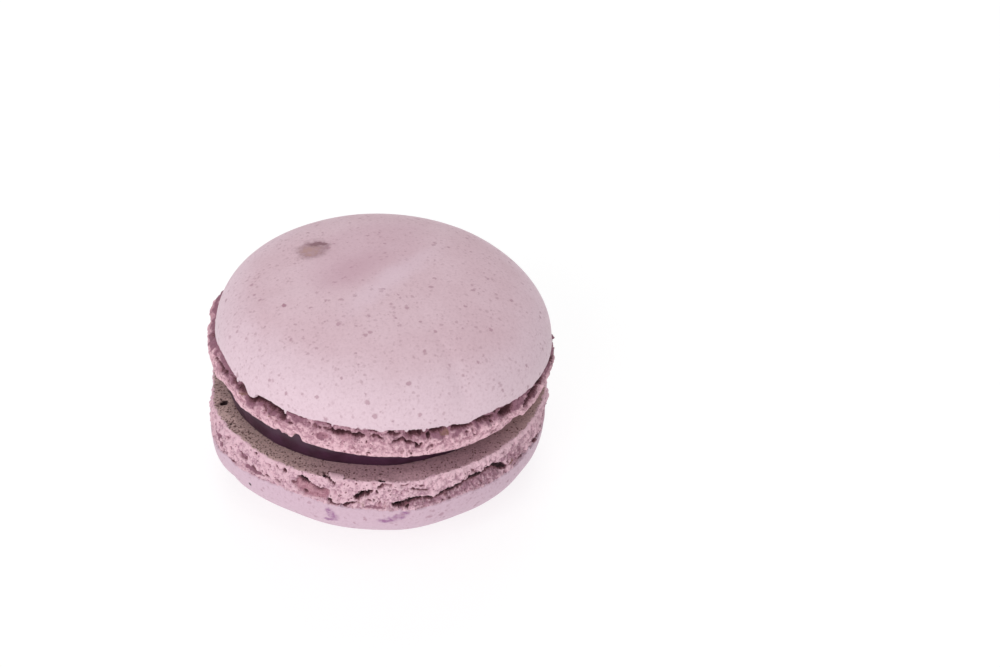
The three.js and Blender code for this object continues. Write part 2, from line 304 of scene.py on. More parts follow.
upperShell = {
    "faceRadius": 22.68,
    "rimRadius": 22.2,
    "footHeight": 3.6,
    "domeHeight": 9.05,
    "domePower": 2.39,
    "crownFlat": 0,
    "borderStep": 0.5,
    "footStep": 0.108,
    "footBulge": 0.3,
    "undercut": 0.2,
    "rolled": (-97, 21, 0.75),
    "shadeBand": (2, 1),
    "calm": 0.4,
    "faceWobble": (0.03, 0.09, -0.16, 0.2),
    "rimWobble": (-0.04, -0.07, 0.1, -0.24),
    "footSwells": [(171, 12, 0.55)],
    "rimSwells": [],
    "seed": 12,
    "grain": 17.7,
    "swells": [
        (-158, 9, 0.95), (-131, 4.5, 0.28), (-107, 5, 0.15), (-62, 3.2, -0.45), (-50, 5, 0.25),
        (60, 22, 0.35), (120, 18, -0.3),
    ],
    "frays": [
        (-145.8, 0.5, -0.5), (-142.7, 1.3, 0.27), (-138.3, 2.2, -0.9), (-123.3, 0.5, -0.55),
        (-106.6, 0.4, -0.4), (-91, 1.5, -0.2), (-82.4, 0.5, -0.3), (-76.6, 0.6, -0.4), (-68.8, 0.5, -0.2),
    ],
    "lifts": [
        (-152, 5.6, 0.75), (-164, 3.8, -0.4), (-132.4, 0.8, 0.15), (-125.3, 1, 0.39), (-122.7, 1, 0.2),
        (-118.3, 1.5, 0.9), (-52, 6.3, 0.2), (-44, 2.5, 0.36), (-40, 2.5, 0.67),
    ],
    "nicks": [(-28, 1.3, 0.4), (75, 1.2, 0.5), (152, 1.1, 0.5)],
    "dent": {
        "x": -3.4,
        "y": 3.6,
        "direction": 49,
        "length": 11.5,
        "steep": 1.5,
        "shallow": 7.5,
        "depth": 0.35,
    },
    "poreCount": 900,
    "cracks": [
        (
            [(-139.3, 2.55), (-137.3, 2.6), (-134.8, 3.5), (-130.5, 3.45), (-126.8, 3.4)],
            0.3, 1.3, "rim", 0.4,
        ),
        ([(-126.8, 3.4), (-123.8, 2.95), (-123.5, 2.4)], 0.28, 1.2, "rim", 0.35),
        ([(-148.4, 2.65), (-145.8, 2.9), (-144.2, 2.6)], 0.2, 0.7),
        ([(-121.9, 3.77), (-119.7, 3.6)], 0.12, 0.5),
        ([(-117.7, 3.65), (-115.5, 3.5)], 0.15, 0.5),
        ([(-121.7, 2.05), (-119.8, 2.24)], 0.1, 0.4),
        ([(-108.8, 3.7), (-106.9, 3.46)], 0.15, 0.6),
        ([(-107.4, 2.78), (-105.2, 2.72), (-102.6, 2.72), (-98.9, 2.71), (-96.1, 2.61)], 0.22, 1),
        ([(-94.5, 3.45), (-91.8, 3.4)], 0.14, 0.5),
        ([(-93.6, 2.73), (-90, 2.63)], 0.13, 0.5),
        ([(-88.4, 3.31), (-84.3, 3.03)], 0.16, 0.6),
        ([(-86.9, 2.1), (-83.4, 2.46), (-82.2, 2.06), (-79.7, 1.86)], 0.15, 0.6),
        ([(-79.7, 1.86), (-78.6, 1.44), (-77.4, 1.87)], 0.15, 0.6),
        ([(-81.7, 3.21), (-78.7, 3.26), (-77, 3.03)], 0.25, 0.8, "rim", 0.4),
        ([(-74.4, 3.36), (-71.2, 3.4), (-70, 3.3)], 0.22, 0.8, "rim", 0.4),
        ([(-67, 3.15), (-64.2, 3.39), (-61.7, 3.04), (-59.9, 2.78)], 0.3, 0.9, "rim", 0.4),
        ([(-57.8, 3.28), (-54.5, 3.05), (-51.5, 3.11)], 0.22, 0.7, "rim", 0.5),
        ([(-48.7, 2.79), (-42.5, 2.93)], 0.45, 1, "rim", 0.4),
        ([(-162.3, 2.7), (-157, 2.65), (-153, 2.9), (-151.5, 3.1)], 0.26, 0.8, "rim", 0.3),
        ([(-168, 4.3), (-167.1, 3.55)], 0.14, 0.5),
    ],
    "pits": [
        (-142.6, 3, 0.85, 0.7, 0.5, 20), (-140.9, 3.1, 0.22, 0.35, 0.7), (-131.5, 2.55, 0.6, 0.28, 0.4),
        (-124.2, 2.4, 0.45, 0.4, 0.5), (-129.3, 2.08, 0.25, 0.14, 0.45), (-95.1, 1.96, 0.13, 0.13, 0.4),
        (-93.6, 1.19, 0.12, 0.12, 0.35), (-80.8, 0.56, 0.13, 0.15, 0.4), (-81.9, 0.36, 0.11, 0.11, 0.35),
        (-75.2, 2.71, 0.25, 0.4, 0.8), (-61.8, 2.08, 0.22, 0.16, 0.55), (-52.3, 2.29, 0.3, 0.2, 0.5, -20),
        (-50.3, 3.4, 0.25, 0.2, 0.5), (-58.7, 1.39, 0.16, 0.13, 0.4), (-178, 2, 0.4, 0.3, 0.3),
        (-174.6, 2.8, 0.9, 0.35, 0.35, 20), (-160, 2.8, 0.7, 0.3, 0.4), (-154.5, 2.9, 0.8, 0.3, 0.45),
        (-149, 3.1, 0.6, 0.25, 0.5), (-173.9, 1.7, 0.3, 0.25, 0.3),
    ],
    "lumps": [
        (163.5, 2.2, 2.8, 1.4, 0.85), (-164.1, 3.2, 0.55, 0.4, 0.3), (-127.5, 2.6, 0.5, 0.35, 0.3),
    ],
    "rose": [
        (-158.5, 1.9, 0.9, 0.35, 0.7), (-101.6, 2.32, 1.2, 0.3, 0.6), (-109.6, 1.9, 0.9, 0.45, 0.9, 10),
        (172, 2.4, 4, 1.2, 0.5),
    ],
    # mauve patches: painted shade in recesses and under the skin, partly the crumb's own mauve
    "mauveShade": [
        (-174.6, 2.7, 1.3, 0.9, 1), (-170, 2.6, 1.1, 0.7, 1), (-156.5, 2.75, 2.2, 0.6, 1),
        (-150, 2.8, 1.2, 0.45, 0.7), (-142.6, 2.95, 1.1, 0.8, 0.8, 20), (-131.3, 2.8, 1.2, 0.5, 0.9),
        (-124.2, 2.48, 0.9, 0.6, 0.8), (-109.8, 1.8, 0.7, 0.5, 0.55), (-92.9, 2.33, 0.5, 0.3, 0.5),
        (-79, 3.1, 2.2, 0.35, 0.6), (-63.4, 2.77, 0.6, 0.35, 0.8), (-55, 2.9, 2.4, 0.6, 0.6),
        (-46.5, 2.64, 2.2, 0.6, 0.8),
    ],
    "tan": [
        (-142.4, 2.9, 0.95, 0.75, 1, 20), (-128.2, 1.8, 0.5, 0.2, 0.6), (-69.6, 2.85, 0.8, 0.4, 0.8),
        (-72.6, 3.3, 0.6, 0.2, 0.5),
    ],
    "plates": [],
}


def domeAt(radius, shell):
    power = shell["domePower"]
    return shell["domeHeight"] * (1 - (radius / shell["rimRadius"]) ** power) ** (1 / power)


def domeRadius(rise, shell):
    power = shell["domePower"]
    return shell["rimRadius"] * (1 - (rise / shell["domeHeight"]) ** power) ** (1 / power)


def shellRows(shell):
    # rings from the middle of the face to the pole: zone, share of the zone, radius, height
    faceRadius, footHeight = shell["faceRadius"], shell["footHeight"]
    rows = [("face", r / faceRadius, r, 0) for r in (0, 9, 15, faceInner - 0.3)]
    borderCount = round((faceRadius - faceInner) / shell["borderStep"])
    for r in np.linspace(faceInner, faceRadius - 0.07, borderCount + 1)[:-1]:
        rows.append(("border", r / faceRadius, r, 0))
    rows.append(("border", 1, faceRadius - 0.07, 0.02))
    footCount = round(footHeight / shell["footStep"])
    for i in range(1, footCount + 1):
        share = i / footCount
        r = faceRadius + (shell["rimRadius"] - faceRadius) * share
        rows.append(("foot", share, r, share * footHeight))
    for i in range(1, 6):
        rise = i * shell["footStep"]
        r = domeRadius(rise, shell)
        step = math.degrees(math.asin((rise / shell["domeHeight"]) ** (shell["domePower"] / 2)))
        rows.append(("rim", step / 90, r, footHeight + rise))
    while step < 84:
        step += 1.2 + step * 0.026
        r = shell["rimRadius"] * math.cos(math.radians(step)) ** (2 / shell["domePower"])
        if r > max(shell["crownFlat"], 1.5):
            rows.append(("dome", step / 90, r, footHeight + domeAt(r, shell)))
    crown = footHeight + domeAt(shell["crownFlat"], shell)
    if shell["crownFlat"]:
        rows += [("dome", 1, part * shell["crownFlat"], crown) for part in (1, 0.5)]
    return rows + [("dome", 1, 0, crown)]


def dentAt(x, y, dent):
    # a long hollow with one steep side
    if not dent:
        return np.zeros_like(x)
    c = math.cos(math.radians(dent["direction"]))
    s = math.sin(math.radians(dent["direction"]))
    along = (x - dent["x"]) * c + (y - dent["y"]) * s
    across = (y - dent["y"]) * c - (x - dent["x"]) * s
    side = np.where(across < 0, dent["steep"], dent["shallow"])
    return dent["depth"] * bell(along, dent["length"]) * bell(across, side)


def patchAt(along, height, patch, edge=0.4):
    # 1 inside a leaning oval, 0 outside it
    at, up, halfLength, halfHeight, strength, *leans = patch
    rise = height - up
    lean = math.radians(leans[0] if leans else 0)
    c, s = math.cos(lean), math.sin(lean)
    beside = along(at)
    a = (beside * c + rise * s) / halfLength
    b = (rise * c - beside * s) / halfHeight
    return strength * smooth(1 + edge - np.hypot(a, b), 0, 2 * edge)


def plateAt(along, height, corners, edge=0.1):
    # 1 inside a shape whose corners turn left, 0 outside it
    middle = corners[0][0]
    beside = along(middle)
    inside = np.full_like(height, 99)
    points = [(math.radians(at - middle) * footRadius, up) for at, up in corners]
    for (x0, y0), (x1, y1) in zip(points, points[1:] + points[:1]):
        length = math.hypot(x1 - x0, y1 - y0)
        distance = ((x1 - x0) * (height - y0) - (y1 - y0) * (beside - x0)) / length
        inside = np.minimum(inside, distance)
    return smooth(inside, -edge, edge)


def crackAt(angle, height, radius, crack, ragged):
    # depth of a crack and the painted shade in it: full along its path, cut off crisply on the lip's side
    path, halfWidth, deep, *lips = crack
    lip, slope = lips or ("", 0)
    middle = path[len(path) // 2][0]
    reach = abs(path[0][0] - path[-1][0]) + 8
    near = np.flatnonzero(abs(turnBetween(angle, middle)) < reach)
    along = np.radians(turnBetween(angle[near], middle)) * radius
    rise = height[near]
    points = [(math.radians(turnBetween(at, middle)) * radius, up) for at, up in path]
    distance = np.full(len(near), 99)
    side = np.zeros(len(near))
    share = np.zeros(len(near))
    for i, ((x0, y0), (x1, y1)) in enumerate(zip(points, points[1:])):
        t = ((along - x0) * (x1 - x0) + (rise - y0) * (y1 - y0)) / ((x1 - x0) ** 2 + (y1 - y0) ** 2)
        t = np.clip(t, 0, 1)
        dx, dy = along - x0 - t * (x1 - x0), rise - y0 - t * (y1 - y0)
        found = np.hypot(dx, dy)
        closer = found < distance
        distance = np.where(closer, found, distance)
        side = np.where(closer, np.where(dy > 0, 1, -1), side)
        share = np.where(closer, (i + t) / (len(points) - 1), share)
    ends = 0.5 + 0.5 * smooth(np.minimum(share, 1 - share), 0, 0.12)
    width = 1.2 * halfWidth * ends * (1 + 0.6 * ragged[near])
    crisp = 1 - smooth(distance, 0.6 * width, width + 0.11)
    # dark is the painted shade in the crack; below a lip it fades down the slope that shows
    dark = crisp
    if lip:
        sloping = 1 - smooth(distance, 0.4 * width, width + slope)
        away = 1 if lip == "face" else -1
        fading = 1 - smooth(distance, 0.4 * width, width + min(slope, 0.25 + 0.35 * slope))
        dark = np.where(side == away, fading, crisp)
        crisp = np.where(side == away, sloping, crisp)
    cut, shade = np.zeros_like(angle), np.zeros_like(angle)
    here = deep * ends * (1 + 0.3 * ragged[near])
    cut[near] = here * crisp
    shade[near] = here * dark
    return cut, shade


def poresAt(angle, height, radius, shell, rng, warp, crowding):
    # burst bubbles: many small ones, few large ones, gathered in clusters
    order = np.argsort(angle)
    sortedAngle = angle[order]
    cut = np.zeros_like(angle)
    for i in range(shell["poreCount"]):
        at = rng.uniform(-180, 180)
        up = shell["footHeight"] * rng.uniform(0.03, 1) ** 0.8
        size = 0.08 + 0.2 * rng.uniform() ** 3
        stretch = rng.uniform(1, 2)
        lean = rng.normal(0, 0.6)
        depth = size * rng.uniform(0.9, 2)
        chance = rng.uniform()
        reach = math.degrees(2.4 * size * stretch / radius)
        first, last = np.searchsorted(sortedAngle, (at - reach, at + reach))
        near = order[first:last]
        if len(near) == 0 or crowding[near].mean() < chance:
            continue
        along = np.radians(angle[near] - at) * radius
        rise = height[near] - up
        a = (along * math.cos(lean) + rise * math.sin(lean)) / stretch
        b = rise * math.cos(lean) - along * math.sin(lean)
        reachShare = np.hypot(a, b) / size + 0.35 * warp[near]
        cut[near] = np.maximum(cut[near], depth * smooth(1.3 - reachShare, 0, 0.7))
    return cut


# The sides that face away have cracks and frays of the same kind, drawn at random
hiddenSide = (-36, 190)
wildFrayCount = 22


def wildCracks(shell, rng):
    # each wanders on from where the one before it ended, under the skin
    cracks = []
    at = hiddenSide[0] - 1
    while at < hiddenSide[1] - 4:
        up = shell["footHeight"] * rng.uniform(0.45, 0.9)
        path = [(at, up)]
        for i in range(int(rng.integers(2, 5))):
            at += rng.uniform(2, 5)
            up = min(max(up + rng.normal(0, 0.45), 0.6), shell["footHeight"] - 0.3)
            path.append((at, up))
        lip = ("face", "rim", "")[int(rng.integers(0, 3))]
        cracks.append((path, rng.uniform(0.1, 0.3), rng.uniform(0.4, 1.2), lip, rng.uniform(0.3, 1.2)))
        at += rng.uniform(-4, 6)
    return cracks


def wildFrays(rng, count):
    frays = []
    for i in range(count):
        half = 0.8 + 1.4 * rng.uniform() ** 2
        at = rng.uniform(*hiddenSide)
        rise = rng.choice((-0.5, -0.3, -0.2, 0.2)) * rng.uniform(0.6, 1.3)
        frays.append((at, half, rise))
    return frays


def ringOfEach(points, rows, up):
    # zone, share, radius and height of the ring that each point is on
    zones, shares, radii, heights = (np.array(column) for column in zip(*rows))
    radius = np.hypot(points[:, 0], points[:, 1])
    index = np.argmin((radius[:, None] - radii) ** 2 + (points[:, 2, None] * up - heights) ** 2, axis=1)
    return [column[index] for column in (zones, shares, radii, heights)]


def plainForm(shell, angle, zone, share, r, z):
    # the face, the foot leaning from the face's edge to the rim, and the dome
    onFace, onDome = np.isin(zone, faceZones), np.isin(zone, ("rim", "dome"))
    faceRadius, rimRadius, footHeight = shell["faceRadius"], shell["rimRadius"], shell["footHeight"]
    swell = bumpsAt(angle, shell["swells"])
    faceEdge = wobbleAt(angle, shell["faceWobble"]) + bumpsAt(angle, shell["footSwells"])
    rimEdge = wobbleAt(angle, shell["rimWobble"]) + bumpsAt(angle, shell["rimSwells"])
    perDegree = math.radians(faceRadius)
    nick = bumpsAt(angle, [(at, half / perDegree, deep) for at, half, deep in shell["nicks"]], 4)

    # height is measured along the shell's outline: below 0 in from the face's edge
    height = np.where(onFace, r - faceRadius, z)
    height = np.where(zone == "foot", z * (1 + swell / footHeight), height)
    height = np.where(onDome, z + swell, height)

    fade = 1 - share
    r = np.where(onFace, r + (faceEdge - 0.35 * nick) * share ** 6, r)
    chipped = 1.3 * nick * smooth(height, -0.1, 0.9) * smooth(1 - height / 3, 0, 1)
    r = np.where(zone == "foot", r + faceEdge * fade + rimEdge * share - chipped, r)
    r = np.where(onDome, r * (1 + rimEdge * fade / rimRadius), r)
    sag = dentAt(*fromPolar(r, angle), shell["dent"])
    z = np.where(onDome, z + swell * fade ** 2 - sag, z)
    z = np.where(zone == "foot", height, z)
    return r, z, height, swell


def cutsAt(angle, height, along, ragged, shell, rng):
    # how deep the cracks and pits are, and how much painted shade is in them
    cuts, shades = np.zeros_like(angle), np.zeros_like(angle)
    for crack in shell["cracks"] + wildCracks(shell, rng):
        deep, dark = crackAt(angle, height, shell["faceRadius"], crack, ragged)
        cuts, shades = np.maximum(cuts, deep), np.maximum(shades, dark)
    for pit in shell["pits"]:
        hollow = patchAt(along, height, pit, 0.25)
        cuts, shades = np.maximum(cuts, hollow), np.maximum(shades, hollow)
    return cuts, shades


def shapeShell(piece, rows, shell, up, rng):
    points = readPoints(piece)
    angle = np.degrees(np.arctan2(points[:, 1], points[:, 0]))
    zone, share, r, z = ringOfEach(points, rows, up)
    r, z, height, swell = plainForm(shell, angle, zone, share, r, z)
    faceRadius, footHeight, grain = shell["faceRadius"], shell["footHeight"], shell["grain"]
    perDegree = math.radians(faceRadius)

    # crumb: ruffles, rounded crumbs and grains, then the ragged edge of the skin over it
    rough = np.flatnonzero(np.isin(zone, fineZones))
    a, h, zoneHere = angle[rough], height[rough], zone[rough]
    flat = np.column_stack([*fromPolar(r[rough], a), z[rough]])
    fields = ((3.2, 0), (1.4, 5), (0.35, 17), (0.8, 21), (0.5, 29))  # width in mm, seed
    ruffle, bulk, warp, ragged, shift = [noiseAt(flat, size, grain + seed) for size, seed in fields]
    top = footHeight + swell[rough]
    edgeLine = top + 0.1 * ragged + 0.09 * warp
    edgeLine += bumpsAt(a, shell["frays"] + wildFrays(rng, wildFrayCount), 4)
    cover = smooth(h - edgeLine, -0.05, 0.05)
    bare = 1 - cover
    wobblyHeight = h + 0.14 * warp + 0.1 * ragged
    wobblyAngle = a + (0.16 * shift + 0.1 * ragged) / perDegree

    def along(at):
        return turnBetween(wobblyAngle, at) * perDegree

    cuts, shades = cutsAt(wobblyAngle, wobblyHeight, along, ragged, shell, rng)
    crowd = smooth(noiseAt(flat, 2.6, grain + 25) + 0.5 * h / footHeight, -0.1, 0.6)
    pores = poresAt(a, h, faceRadius, shell, rng, warp, crowd)
    at, halfWidth, amount = shell["rolled"]
    rolled = amount * bell(turnBetween(a, at), halfWidth, 4)
    undercut = shell["undercut"] * (1 + 1.6 * ragged + bulk) * smooth(h - edgeLine, -0.55, -0.02)
    undercut = np.maximum(undercut * (1 - rolled), 0)
    onFoot = smooth(h, -0.1, 0.25)
    bulge = shell["footBulge"] * np.sin(np.pi * np.clip(h / top / 0.87, 0, 1))
    lip = 0.06 * bell(h - edgeLine - 0.14, 0.13)
    marks = {word: np.zeros_like(share) for word in ("pit", "crest", "rose", "mauveShade", "tan")}

    def mark(word, values):
        marks[word][rough] = np.maximum(marks[word][rough], values)

    proud = np.zeros_like(a)
    for lump in shell["lumps"]:
        proud += patchAt(along, wobblyHeight, lump)
    flake = np.zeros_like(a)
    for corners, kind, rise in shell["plates"]:
        plate = plateAt(along, wobblyHeight, corners)
        proud += rise * plate
        if kind == "flake":
            flake = np.maximum(flake, plate)
        else:
            mark(kind, 0.85 * plate)
    cuts *= 1 + 0.5 * bulk
    cut = (np.maximum(cuts, pores) + undercut) * bare
    # shade is painted shade in cracks, pits, pores and under the overhanging skin's edge
    shade = (np.maximum(shades, pores) + undercut) * bare
    inward = smooth(h, -0.45, 0.45)  # a cut goes down into the face and sideways into the foot
    floor = np.column_stack([*fromPolar(r[rough] - cut * inward, a), z[rough]])
    billow = billowAt(floor, 1.1, grain + 9)
    grains = grainsAt(floor, 0.6, grain + 13)
    broken = 0.16 * np.clip(cut / 0.4, 0, 1) * onFoot
    calm = shell["calm"] + (1 - shell["calm"]) * smooth(h / top, 0.1, 0.45)
    crumbs = 0.45 * (billow - 0.4) + 0.16 * (grains - 0.5)
    relief = (0.2 * ruffle + 0.18 * bulk + calm * crumbs + 0.05 * warp) * (1 - 0.8 * flake)
    push = (relief * onFoot + proud) * bare - cut
    facePush = 0.02 * warp * (1 - onFoot)
    r[rough] += push * inward + bulge * bare + lip * np.isin(zoneHere, ("foot", "rim"))
    z[rough] += (0.06 * warp * onFoot * bare) - (push + facePush) * (1 - inward) * (h < 0.45)
    z[rough] += broken * noiseAt(floor, 0.3, grain + 33)
    angle[rough] += broken * noiseAt(floor, 0.3, grain + 37) / perDegree
    lift = bumpsAt(a, shell["lifts"], 4) + (0.06 * ragged + 0.05 * warp)
    z[rough] += lift * smooth(1 - abs(h) / np.where(h > 0, 2.5, 1.7), 0, 1)
    writePoints(piece, np.column_stack([*fromPolar(r, angle), up * z]))

    # the pit mark is painted shade: the deeper the cut, pore or undercut, the darker the crumb and face are
    # painted
    mark("pit", np.maximum(shade / 0.75, bare * smooth(shades, 0.1, 0.6)) * (1 - flake))
    # crests are painted paler than the creases between crumbs, partly painted shade in the creases; the
    # pale band just above the face's edge and the pale flakes are the crumb's own colour
    crest = np.maximum(0.6 * smooth(billow, 0.15, 0.65) + 0.4 * grains, 1.5 * flake)
    mark("crest", crest + 0.35 * bell(h - 0.4, 0.45))
    for word in ("rose", "mauveShade", "tan"):
        for patch in shell[word]:
            mark(word, patchAt(along, wobblyHeight, patch))
    # painted shade under the skin's edge: the crumb below it is painted in the mauve shade colour, down to
    # the band's reach
    reach, strength = shell["shadeBand"]
    patchy = smooth(h - edgeLine + 1.1 * ragged + 0.9 * bulk, -reach, -0.3 * reach)
    mark("mauveShade", strength * patchy * (1 - 0.6 * rolled))
    edgeRag = 0.6 * ragged + 0.4 * warp
    crumb, baked = np.zeros_like(share), np.isin(zone, faceZones).astype(float)
    onCrumb = smooth(h + 0.4 * edgeRag, -0.16, 0.04)
    crumb[rough] = bare * np.maximum(onCrumb, flake)
    baked[rough] = bare * (1 - np.maximum(onCrumb, flake))
    marks.update({"crumb": crumb, "baked": baked, "outward": r / shell["rimRadius"]})
    marks["front"] = bumpsAt(angle, [warmFront], 4)
    freckled = 0.35 + bumpsAt(angle, [freckledLeft], 4)
    marks["freckled"] = freckled * smooth(share, 0.8, 0.97)
    for word, values in marks.items():
        addAttribute(piece, word, values)


def makeShell(name, shell, up):
    rows = shellRows(shell)
    sections = []
    for zones, sides in ((("face",), plainSides), (fineZones, fineSides), (("dome",), plainSides)):
        sections.append(([(row[2], up * row[3]) for row in rows if row[0] in zones], sides))
    piece = turnSections(name, sections)
    shapeShell(piece, rows, shell, up, np.random.default_rng(shell["seed"]))
    smoothShade(piece)
    triangles = sum(len(face.vertices) - 2 for face in piece.data.polygons)
    print(name, len(rows), "rows,", triangles, "triangles")
    return piece


def placePiece(piece, x, y, z, tilt):
    # the move is written into the mesh, so the object stays at the origin
    makeActive(piece)
    piece.rotation_euler.y = math.radians(tilt)
    piece.location = (x * mm, y * mm, z * mm)
    bpy.ops.object.transform_apply(location=True, rotation=True, scale=True)


stack = {
    "lowerFace": (-0.3, 0.12, 13.316),  # middle of the lower shell's face
    "upperOffset": 0.55,
    "upperTilt": 2.04,
    "faceGap": 4.17,
}

faceX, faceY, faceZ = stack["lowerFace"]
lowerPiece = makeShell("lowerMacaronShell", lowerShell, -1)
placePiece(lowerPiece, faceX, faceY, faceZ, 0)
upperPiece = makeShell("upperMacaronShell", upperShell, 1)
placePiece(upperPiece, faceX + stack["upperOffset"], faceY, faceZ + stack["faceGap"], stack["upperTilt"])

# The filling

ganache = {
    "radius": 19.45,
    "height": 4,  # before it is fitted between the faces
    "x": -0.63,
    "y": 0.1,
    "bulge": 0.35,
    "sides": 512,
    "rows": 22,
    "sink": 0.05,  # into each face
    "grainRadius": 19,  # where its unevenness is drawn from
}


def makeFilling(name):
    count = ganache["rows"]
    radius, height = ganache["radius"], ganache["height"]
    outline = [(0, 0), (0.8 * radius, 0)]
    outline += [(radius, height * i / count) for i in range(count + 1)]
    outline += [(0.8 * radius, height), (0, height)]
    piece = turnSections(name, [(outline, ganache["sides"])])
    points = readPoints(piece)
    angle = np.degrees(np.arctan2(points[:, 1], points[:, 0]))
    radius = np.hypot(points[:, 0], points[:, 1])
    share = points[:, 2] / ganache["height"]
    wall = np.column_stack([*fromPolar(ganache["grainRadius"], angle), points[:, 2]])
    uneven = 0.22 * noiseAt(wall, 6, 4) + 0.12 * noiseAt(wall, 2.2, 8) + 0.03 * noiseAt(wall, 0.7, 12)
    swelling = ganache["bulge"] * np.sin(np.pi * share)
    shaped = radius + np.where(radius > ganache["radius"] - 0.1, uneven + swelling, 0)
    x, y = fromPolar(shaped, angle)
    slope = math.tan(math.radians(stack["upperTilt"]))
    ceiling = stack["faceGap"] - slope * (ganache["x"] + x - stack["upperOffset"]) + ganache["sink"]
    z = share * ceiling - (1 - share) * ganache["sink"]
    writePoints(piece, np.column_stack([x, y, z]))
    smoothShade(piece)
    return piece


fillingPiece = makeFilling("ganacheDisc")
placePiece(fillingPiece, faceX + ganache["x"], faceY + ganache["y"], faceZ, 0)
print("shells and filling shaped")


# Materials. A Link wraps a socket, so that shader maths is written as plain expressions.

def operatorFor(operation):
    # the plain and the reflected form of an operator
    def plain(link, other):
        return link.maths(operation, link, other)

    def reflected(link, other):
        return link.maths(operation, other, link)

    return plain, reflected


class Link:
    def __init__(self, paint, socket):
        self.paint = paint
        self.socket = socket

    def maths(self, operation, *values):
        return self.paint.node("ShaderNodeMath", {"operation": operation}, dict(enumerate(values)))

    def other(self, output):
        # another output of the same node
        return Link(self.paint, self.socket.node.outputs[output])

    def highest(self, other):
        return self.maths("MAXIMUM", self, other)

    __add__, __radd__ = operatorFor("ADD")
    __sub__, __rsub__ = operatorFor("SUBTRACT")
    __mul__, __rmul__ = operatorFor("MULTIPLY")
    __truediv__ = operatorFor("DIVIDE")[0]


class Paint:
    def __init__(self, name):
        self.material = bpy.data.materials.new(name)
        self.material.use_nodes = True
        self.tree = self.material.node_tree
        self.shader = self.tree.nodes["Principled BSDF"]

    def node(self, kind, settings=None, inputs=None, output=0):
        made = self.tree.nodes.new(kind)
        for key, value in (settings or {}).items():
            setattr(made, key, value)
        for key, value in (inputs or {}).items():
            self.feed(made.inputs[key], value)
        return Link(self, made.outputs[output])

    def feed(self, socket, value):
        if isinstance(value, Link):
            self.tree.links.new(value.socket, socket)
        else:
            socket.default_value = value

    def finished(self, inputs):
        for key, value in inputs.items():
            self.feed(self.shader.inputs[key], value)
        return self.material

    def attribute(self, name):
        return self.node("ShaderNodeAttribute", {"attribute_name": name}, output="Fac")

    def place(self):
        return self.node("ShaderNodeTexCoord", output="Object")

    def vector(self, operation, *values):
        return self.node("ShaderNodeVectorMath", {"operation": operation}, dict(enumerate(values)))

    def warped(self, place, size, reach):
        # the place moved about by up to half the reach, so that what is drawn there gets ragged
        wander = self.vector("SUBTRACT", self.noise(size, 3, 0.6).other("Color"), (0.5, 0.5, 0.5))
        return self.vector("ADD", place, self.vector("MULTIPLY", wander, (reach * mm,) * 3))

    def noise(self, size, detail=2, roughness=0.5):
        # size is the width of a blotch in millimetres
        inputs = {"Vector": self.place(), "Scale": 1 / (size * mm)}
        inputs.update({"Detail": detail, "Roughness": roughness})
        return self.node("ShaderNodeTexNoise", {}, inputs)

    def between(self, value, low, high, start=0, end=1):
        # a smooth change from start to end as the value goes from low to high
        inputs = {"Value": value, "From Min": low, "From Max": high, "To Min": start, "To Max": end}
        return self.node("ShaderNodeMapRange", {"interpolation_type": "SMOOTHSTEP"}, inputs)

    def blend(self, share, first, second):
        settings = {"data_type": "RGBA", "blend_type": "MIX", "clamp_factor": True}
        return self.node("ShaderNodeMix", settings, {0: share, 6: first, 7: second}, output=2)

    def spots(self, spacing, chance, smallest, largest, vector, seed=0):
        # scattered round flecks: one in each cell of a loose grid, but only in a share of the cells
        shifted = self.vector("ADD", vector, (seed, seed, seed))
        cells = self.node("ShaderNodeTexVoronoi", {}, {"Vector": shifted, "Scale": 1 / (spacing * mm)})
        draw = self.node("ShaderNodeSeparateColor", {}, {"Color": cells.other("Color")})
        there = draw.maths("LESS_THAN", draw, chance)
        size = (smallest + (largest - smallest) * draw.other("Green")) / spacing
        return there * self.between(cells / size, 1.15, 0.6)

    def spotAt(self, vector, centre, halfSizes, turn=0, edge=0.3):
        # one leaning egg-shaped spot: 1 inside, 0 outside
        inputs = {"Vector": vector, "Location": tuple(v * mm for v in centre)}
        inputs["Rotation"] = (0, 0, math.radians(turn))
        inputs["Scale"] = tuple(v * mm for v in halfSizes)
        inner = self.node("ShaderNodeMapping", {"vector_type": "TEXTURE"}, inputs)
        length = self.node("ShaderNodeVectorMath", {"operation": "LENGTH"}, {0: inner}, output="Value")
        return self.between(length, 1 + edge, 1 - edge)


def colour(red, green, blue):
    # a colour as seen on a screen, 0 to 255, made linear
    def linear(value):
        share = value / 255
        return share / 12.92 if share <= 0.04045 else ((share + 0.055) / 1.055) ** 2.4

    return (linear(red), linear(green), linear(blue), 1)


def onUpperDome(x, y):
    # where a spot of the upper dome lies once the shell is in its place
    z = upperShell["footHeight"] + domeAt(math.hypot(x, y), upperShell)
    place = Matrix.Translation((faceX + stack["upperOffset"], faceY, faceZ + stack["faceGap"]))
    return tuple(place @ Matrix.Rotation(math.radians(stack["upperTilt"]), 4, "Y") @ Vector((x, y, z)))


def onLowerDome(angle, height):
    rise = height - lowerShell["footHeight"]
    r = domeRadius(max(rise, 0), lowerShell)
    a = math.radians(angle)
    return (faceX + r * math.cos(a), faceY + r * math.sin(a), faceZ - height)


